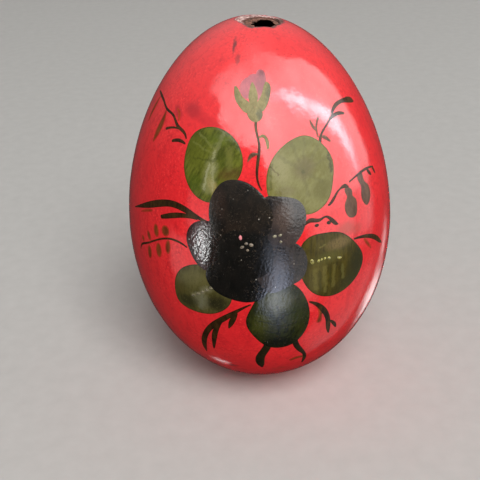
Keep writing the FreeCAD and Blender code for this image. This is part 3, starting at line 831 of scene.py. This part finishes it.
def right_leaf():
    """Moss leaf, dark on its right, with light strokes below its row of dots."""
    light = (108, 100, 48)
    blots = [
        ((11.2, 33.4), (2.2, 1.1), (122, 102, 62), 0.75),
        ((9.4, 31.6), (2.6, 1.2), (92, 88, 36), 0.55),
        ((14.6, 29.4), (2.2, 3.4), (40, 40, 24), 0.9, -15),
        ((13.2, 26.2), (2.2, 1.6), (44, 44, 20), 0.75),
        ((7.8, 28.6), (1.6, 3.0), (98, 88, 42), 0.6),
    ]
    lines = [
        ((7.4, 30.0), (7.6, 26.8), 0.34, light, 0.55),
        ((9.0, 30.2), (9.0, 26.0), 0.34, light, 0.6),
        ((10.4, 30.0), (10.3, 26.4), 0.26, light, 0.5),
        ((11.8, 29.6), (11.9, 27.2), 0.2, (104, 100, 52), 0.5),
        ((8.2, 33.6), (9.0, 33.8), 0.16, light, 0.7),
        ((8.2, 29.8), (8.3, 26.4), 0.2, (50, 50, 20), 0.5),
        ((9.8, 29.8), (9.9, 26.2), 0.18, (50, 50, 20), 0.5),
    ]
    return paint_material("moss_paint_right", (50, 43, 8), (78, 68, 20), (22, 22, 10), 88, 0.6,
                          coat=0.3, blots=blots, lines=lines)


def lower_leaf():
    """Dark green leaf with a dark midrib and side veins, and a painted grey sheen and pale painted highlight
    at its top.
    """
    vein = (14, 18, 8)
    blots = [
        # The first patch, pale grey at the top, is a painted sheen.
        ((1.8, 25.6), (2.6, 2.4), (104, 104, 84), 0.55),
        ((-1.0, 21.4), (1.7, 2.6), (64, 66, 18), 0.8),
        ((4.6, 22.8), (1.8, 2.6), (44, 50, 22), 0.6),
        ((2.0, 16.6), (3.6, 2.0), (6, 9, 3), 0.9),
    ]
    lines = [
        ((1.6, 24.6), (1.8, 17.6), 0.2, vein, 0.8),
        ((1.6, 22.4), (-0.8, 23.4), 0.13, vein, 0.65),
        ((1.7, 20.8), (-1.2, 21.8), 0.13, vein, 0.65),
        ((1.7, 19.0), (-0.6, 19.8), 0.13, vein, 0.6),
        ((1.7, 22.2), (4.4, 23.2), 0.13, vein, 0.65),
        ((1.8, 20.0), (4.6, 21.0), 0.13, vein, 0.65),
        # Painted highlight: the last line, pale, runs along the top of the midrib.
        ((1.2, 27.0), (1.5, 22.8), 0.34, (118, 118, 96), 0.3),
    ]
    return paint_material("forest_paint_leaf", (20, 24, 3), (44, 46, 10), (12, 14, 4), 80, 0.5,
                          coat=0.64, coat_roughness=0.17, wrinkle=0.04, grain=0.38, blots=blots,
                          lines=lines, glints=0.03)


def left_leaf():
    """Olive-brown leaf, dark at its foot, with a painted grey sheen along its dots."""
    # Painted sheen: the pale grey patches and both pale lines.
    blots = [
        ((-10.6, 28.6), (2.4, 1.6), (98, 92, 48), 0.75),
        ((-13.0, 26.6), (1.0, 2.0), (76, 66, 28), 0.6),
        ((-9.8, 24.9), (1.6, 1.7), (112, 110, 84), 0.7, 10),
        ((-12.0, 24.2), (1.8, 1.3), (34, 34, 16), 0.8),
        ((-7.4, 24.8), (1.9, 1.8), (28, 26, 14), 0.85),
        ((-9.0, 27.2), (1.3, 0.8), (116, 112, 82), 0.55, 25),
    ]
    lines = [
        ((-10.8, 25.8), (-7.2, 28.4), 0.35, (128, 122, 92), 0.5),
        ((-9.8, 26.2), (-10.0, 23.4), 0.3, (104, 104, 82), 0.5),
    ]
    return paint_material("moss_paint_left", (62, 58, 24), (88, 82, 42), (20, 18, 8), 80, 0.5,
                          coat=0.5, blots=blots, lines=lines)


def petal_material(name, dark, light, edge, blots, glints, wrinkle=0.034, roughness=0.15):
    """Thick dark petal with a grained, leathery varnish."""
    return paint_material(name, dark, light, edge, angle=75, streak=0.4, wrinkle=wrinkle, grain=0.36,
                          coat=1.0, coat_roughness=roughness, rim=0.14, rim_strength=0.35, blots=blots,
                          glints=glints)


def stroke_material(name, dark, light, edge, rim=0.1, rim_strength=0.6, coat=0.4, blots=()):
    """Thin brushed mark under the varnish."""
    return paint_material(name, dark, light, edge, wrinkle=0.012, grain=0.6, coat=coat, coat_roughness=0.12,
                          rim=rim, rim_strength=rim_strength, blots=blots)


# ---- stage

# The floor lies a hair below the egg's lowest point
FLOOR_HEIGHT = -0.02
FLOOR_REACH = 3000.0
DOME_RADIUS = 2500.0


def make_floor():
    """Large pale sheet that the egg stands on."""
    steps = np.linspace(-FLOOR_REACH, FLOOR_REACH, 25)
    points = [(x, y, FLOOR_HEIGHT) for y in steps for x in steps]
    obj = make_object("floor", points, grid_faces(len(steps), len(steps), closed=False))
    s = Shader("pale_floor")
    grain = s.noise(3.0, 3, 0.5)
    colour = s.mix(grain, (186, 184, 180), (198, 196, 192))
    obj.data.materials.append(s.finish(Base_Color=colour, Roughness=0.9, Specular_IOR_Level=0.1,
                                       Normal=s.bump(grain, 0.05)))
    obj.visible_glossy = False


def compass(az, el):
    """Unit vectors for directions: azimuth from -Y towards +X, and elevation, in degrees."""
    a, e = np.radians(az), np.radians(el)
    return np.stack([np.cos(e) * np.sin(a), -np.cos(e) * np.cos(a), np.sin(e)], axis=-1)


WHITE = (1.0, 1.0, 1.0)
COOL = (0.95, 0.97, 1.06)
BLUE = (0.86, 0.95, 1.2)

# The studio's main panel, which shows in the varnish: its lower and upper edge and its brightness
# along it (azimuth and a value), and how its brightness changes with elevation
MAIN_LOW = [(-84, 44), (-60, 48), (-45, 36), (-15, 32), (0, 30), (7, 20), (15, 10), (24, -4), (60, -6),
            (118, -6)]
MAIN_HIGH = [(-84, 95), (92, 95), (97, 66), (104, 54), (112, 44), (118, 24)]
MAIN_GLOW = [(-84, 2.2), (-60, 4.2), (-45, 5.0), (-20, 5.6), (0, 6.6), (20, 7.0), (34, 6.6), (46, 5.6),
             (76, 6.0), (92, 5.4), (108, 4.6)]
MAIN_BY_HEIGHT = [(-12, 0.4), (-2, 0.55), (8, 0.65), (24, 0.9), (34, 1.0), (58, 1.0), (67, 0.8), (76, 0.58),
                  (90, 0.46)]

# Dim glow all round, by elevation
ROOM_GLOW = [(-60, 0.02), (-20, 0.05), (0, 0.1), (12, 0.25), (28, 0.55), (44, 0.9), (60, 1.1), (76, 1.5),
             (86, 2.2)]

# Dimmer panels: west and east edge, lower and upper edge (degrees), brightness, softness, colour
PANELS = [
    (40, 84, -22, 8, 2.2, 16, WHITE),
    (20, 52, -44, -16, 1.1, 16, WHITE),
    (84, 108, -22, 0, 1.2, 12, WHITE),
    (60, 118, -70, -30, 0.35, 12, WHITE),
    (128, 150, -43, -34, 2.0, 8, WHITE),
    (131, 140, -32, -25, 1.2, 8, WHITE),
    (-82, -52, -32, -14, 0.9, 10, WHITE),
    (-64, -40, -10, 8, 0.9, 10, WHITE),
    (-151, -145, -66, -60, 2.2, 5, WHITE),
]

# Narrow bright strips: places along them (azimuth, elevation, brightness), half width, softness, colour
STRIPS = [
    ([(27, 55, 9), (40, 53, 13), (50, 49, 20), (59, 45, 24), (72, 36, 20), (84, 27, 22), (92, 16, 18),
      (95, 5, 10), (96, -4, 3)], 4.0, 10, COOL),
    ([(8, -15, 1.2), (14, -25, 3.7), (13, -33, 5.2), (10, -42, 6.0), (15, -52, 1.6), (18, -60, 0.3)],
     6.5, 11, BLUE),
    ([(-48, 0, 1.5), (-49, -7, 5), (-49, -11, 18), (-50, -15, 52), (-51, -18, 16), (-52, -21, 2)],
     1.6, 5, WHITE),
]


def edge_share(distance, softness):
    """0 outside an edge, 1 inside it, and half on it."""
    return smooth_step(distance / softness + 0.5)


def make_panels():
    """Large dome round the egg that glows where the studio's panels are, seen only in gloss."""
    rows, columns = 151, 300
    el = np.repeat(np.linspace(-90, 90, rows), columns)
    az = np.tile(np.linspace(-180, 180, columns, endpoint=False), rows)
    directions = compass(az, el)
    glow = np.repeat(np.interp(el, *zip(*ROOM_GLOW))[:, None], 3, axis=1)
    feather = 2.2 * wobble(directions, 0.07, 33) + 1.2 * wobble(directions, 0.03, 34)
    main = edge_share(el + feather - np.interp(az, *zip(*MAIN_LOW)), 8)
    main *= edge_share(np.interp(az, *zip(*MAIN_HIGH)) - el + feather, 8)
    main *= edge_share(az + 84, 18) * edge_share(115 - az, 8)
    main *= np.interp(az, *zip(*MAIN_GLOW)) * np.interp(el, *zip(*MAIN_BY_HEIGHT))
    main *= 1 + 0.18 * wobble(directions, 0.16, 31) + 0.12 * wobble(directions, 0.06, 32)
    glow = np.maximum(glow, main[:, None])
    for west, east, low, high, bright, soft, tint in PANELS:
        aside = np.abs((az - 0.5 * (west + east) + 180) % 360 - 180)
        lit = edge_share(0.5 * (east - west) - aside, soft)
        lit = lit * edge_share(el - low, soft) * edge_share(high - el, soft)
        glow = np.maximum(glow, lit[:, None] * bright * np.array(tint))
    for stops, half_width, soft, tint in STRIPS:
        places = compass(*np.array(stops, dtype=float)[:, :2].T)
        for k in range(len(stops) - 1):
            a, run = places[k], places[k + 1] - places[k]
            share = np.clip((directions - a) @ run / (run @ run), 0, 1)
            apart = np.degrees(np.linalg.norm(directions - a - share[:, None] * run, axis=-1)) + 0.8 * feather
            bright = stops[k][2] + share * (stops[k + 1][2] - stops[k][2])
            lit = edge_share(half_width - apart, soft) * bright
            glow = np.maximum(glow, lit[:, None] * np.array(tint))
    obj = make_object("studio_panels", directions * DOME_RADIUS, grid_faces(rows, columns))
    layer = obj.data.attributes.new("glow", "FLOAT_COLOR", "POINT")
    layer.data.foreach_set("color", np.concatenate([glow, np.ones((len(glow), 1))], axis=1).ravel())
    s = Shader("studio_glow")
    s.material.cycles.emission_sampling = "NONE"
    brightness = s.node("Attribute", [], "Color", attribute_name="glow")
    obj.data.materials.append(s.end(s.node("Emission", [("Color", brightness)])))
    for kind in ("camera", "diffuse", "shadow", "transmission"):
        setattr(obj, "visible_" + kind, False)


def make_key(position, target, size, radiance):
    """Square soft light in millimetres that lights colour but isn't seen in gloss."""
    data = bpy.data.lights.new("key", "AREA")
    data.shape = "SQUARE"
    data.size = size * MM
    data.energy = radiance * math.pi * (size * MM) ** 2
    obj = add_object("key", data)
    place_at = Vector(position) * MM
    obj.location = place_at
    obj.rotation_euler = (Vector(target) * MM - place_at).to_track_quat("-Z", "Y").to_euler()
    obj.visible_camera = False
    obj.visible_glossy = False


def make_world():
    """Dim even light all round, with a pale backdrop behind the floor's edge."""
    world = bpy.data.worlds.new("soft_room")
    world.use_nodes = True
    tree = world.node_tree
    background = tree.nodes["Background"]
    path = tree.nodes.new("ShaderNodeLightPath")
    mix = tree.nodes.new("ShaderNodeMix")
    mix.data_type = "RGBA"
    tree.links.new(path.outputs["Is Camera Ray"], mix.inputs[0])
    room_level = (0.25, 0.25, 0.25, 1)
    backdrop_level = (0.5, 0.5, 0.49, 1)
    mix.inputs[6].default_value = room_level
    mix.inputs[7].default_value = backdrop_level
    tree.links.new(mix.outputs[2], background.inputs[0])
    world.cycles_visibility.glossy = False
    bpy.context.scene.world = world


def make_camera():
    data = bpy.data.cameras.new("camera")
    data.lens = 63.75
    data.sensor_width = 36.0
    data.clip_start = 0.005
    data.clip_end = 20.0
    obj = add_object("camera", data)
    place_at = Vector((-3.514, -129.501, 94.891)) * MM
    right = Vector((0.998829, -0.023091, -0.042509))
    up = Vector((0.048375, 0.47677, 0.877696))
    turn = Matrix((right, up, right.cross(up))).transposed().to_4x4()
    obj.matrix_world = Matrix.Translation(place_at) @ turn
    bpy.context.scene.camera = obj


# ---- the egg, put together

place(make_lacquer(), "ground_coat", lacquer_material())
place(make_shell(), "eggshell", shell_material())
place(make_lining(), "shell_membrane", lining_material())

FAINT_EDGE = (214, 44, 40)

black = petal_material("black_paint", (4, 4, 2), (17, 14, 10), (30, 12, 10), [
    ((1.8, 28.4), (1.6, 1.6), (48, 40, 32), 0.5),
], glints=0.12)
top_black = petal_material("black_paint_top", (6, 5, 3), (32, 25, 18), (40, 18, 14), [
    ((-6.4, 41.2), (1.4, 2.8), (44, 29, 21), 0.6),
    ((-4.4, 37.0), (2.0, 2.2), (42, 29, 20), 0.35),
    ((0.4, 40.4), (1.2, 2.4), (38, 31, 22), 0.4),
], glints=0.28)
# The right petals' lighter brown-grey is partly tan paint and partly a painted sheen.
right_black = petal_material("black_paint_right", (16, 14, 14), (52, 44, 40), (74, 52, 38), [
    ((2.8, 39.0), (1.6, 2.6), (84, 68, 60), 0.75),
    ((4.0, 36.0), (2.6, 1.4), (74, 60, 56), 0.5),
], glints=0.08)
maroon = petal_material("maroon_paint", (30, 12, 11), (54, 18, 18), (84, 20, 24), [
    ((-7.3, 34.6), (1.9, 4.2), (14, 11, 7), 0.95),
    ((-8.2, 32.4), (1.6, 1.2), (24, 14, 11), 0.8),
], glints=0.36, wrinkle=0.04, roughness=0.1)

stroke = stroke_material("brown_paint", (34, 20, 10), (72, 46, 20), (70, 22, 14))
stem = stroke_material("stem_paint", (70, 56, 32), (94, 74, 46), (116, 44, 30), 0.14, 0.5, 0.3, [
    ((-0.1, 48.2), (1.2, 1.3), (40, 26, 12), 0.95),
    ((-0.5, 44.2), (1.6, 3.0), (44, 10, 4), 0.95),
])
grass = stroke_material("grass_paint", (24, 14, 5), (66, 44, 16), (34, 14, 6), 0.18)
root = stroke_material("forest_paint", (16, 14, 6), (42, 36, 14), (34, 14, 8))
rust = stroke_material("rust_paint", (100, 42, 16), (136, 66, 26), FAINT_EDGE, 0.35, 0.7)
grey = stroke_material("grey_paint", (78, 54, 40), (106, 78, 60), (140, 60, 50), 0.14, 0.5)
spray = stroke_material("spray_paint", (70, 50, 34), (118, 88, 66), FAINT_EDGE, 0.16, 0.4)
mauve = stroke_material("mauve_paint", (172, 98, 106), (198, 112, 118), (214, 92, 94), 0.35, 0.45, blots=[
    ((0.8, 57.7), (0.7, 0.7), (98, 58, 62), 0.85),
    ((0.6, 56.4), (1.1, 1.4), (148, 94, 98), 0.8),
])
sepal = stroke_material("sepal_paint", (118, 106, 60), (150, 138, 90), (92, 84, 48), 0.2, 0.55, 0.35, [
    ((1.6, 55.4), (0.5, 1.6), (78, 80, 58), 0.7, -10),
    ((-2.9, 54.9), (0.4, 1.2), (100, 96, 50), 0.5, 10),
    ((0.2, 52.8), (0.6, 0.9), (84, 84, 60), 0.8),
])
yellow = dot_material("yellow_dots", (172, 164, 78), (92, 84, 36))
dim_dots = dot_material("dim_dots", (134, 126, 98), (66, 60, 44))
cream = dot_material("cream_dots", (142, 126, 104), (66, 56, 44))
pink = dot_material("pink_dot", (236, 148, 152), (196, 96, 104))

# Marks in the order of painting: CAD nodes and their paint
STROKES = [(node, paint) for nodes, paint in (
    ("vine_pendant_near vine_pendant_far", rust), ("vine_stem vine_blade vine_dash", stroke),
    ("vine_twig", rust),
    ("grass_left_faint", rust), ("grass_left_short grass_left_long", grass),
    ("fern_leaflets_upper fern_leaflets_lower", rust), ("fern_stem", stroke),
    ("grass_lower_left_small grass_lower_left_inner grass_lower_left_outer", grass),
    ("root_left", root), ("root_stub", rust), ("root_right", root),
    ("grass_lower_right_inner", rust), ("grass_lower_right_side grass_lower_right_main", grass),
    ("grass_right_side", rust), ("grass_right_main", grass), ("tendril", stroke),
    ("pod_near", grey), ("pod_near_stalk", stroke), ("pod_far", grey), ("pod_far_stalk", stroke),
    ("spray_twigs", spray), ("spray_blades", stroke),
    ("bud_petal_left bud_petal_middle bud_petal_right", mauve),
    ("bud_sepal_left bud_sepal_right bud_sepal_middle", sepal),
    ("bud_stem", stem), ("bud_receptacle bud_leaflet_right", sepal), ("bud_leaflet_left", spray),
) for node in nodes.split()]
LEAVES = [
    ("leaf_upper_left", upper_left_leaf(), 62), ("leaf_upper_right", upper_right_leaf(), 55),
    ("leaf_right", right_leaf(), 88), ("leaf_lower", lower_leaf(), 80), ("leaf_left", left_leaf(), 80),
]
PETALS = [
    ("petal_left", maroon), ("petal_bottom", black), ("petal_lower_right", right_black),
    ("petal_upper_right", right_black), ("petal_top", top_black), ("flower_eye", black),
]
DOTS = [
    ("dots_leaf_right", yellow), ("dots_leaf_left", dim_dots),
    ("stamen_pink", pink), ("stamens_middle", cream), ("stamens_right", dim_dots),
]

films = [Film(node, paint, STROKE_THICKNESS, spacing=0.08, soft=0.2, brush=brushed(90, 0.3, 0.002, k))
         for k, (node, paint) in enumerate(STROKES)]
films += [Film(node, paint, LEAF_THICKNESS, spacing=0.14, soft=0.35, brush=brushed(angle, 0.4, 0.007, 50))
          for node, paint, angle in LEAVES]
films += [Film(node, paint, PETAL_THICKNESS, spacing=0.13, soft=0.35, brush=brushed(75, 0.45, 0.006, 60))
          for node, paint in PETALS]

borders = [film.border() for film in films]
for index, film in enumerate(films):
    earlier = tree_of(np.concatenate(borders[:index])) if index > 0 else None
    later = tree_of(np.concatenate(borders[index + 1:])) if index + 1 < len(films) else None
    place(make_film(film, earlier, later), film.node, film.paint)
for node, paint in DOTS:
    dots = Film(node, paint, DOT_THICKNESS, spacing=0.06, soft=0.25)
    place(make_film(dots, None, None), node, paint)

make_floor()
make_panels()
make_key(position=(195, -680, 843), target=(0, 0, 30), size=600, radiance=10.3)
make_world()
make_camera()
bpy.context.scene.view_settings.view_transform = "Standard"
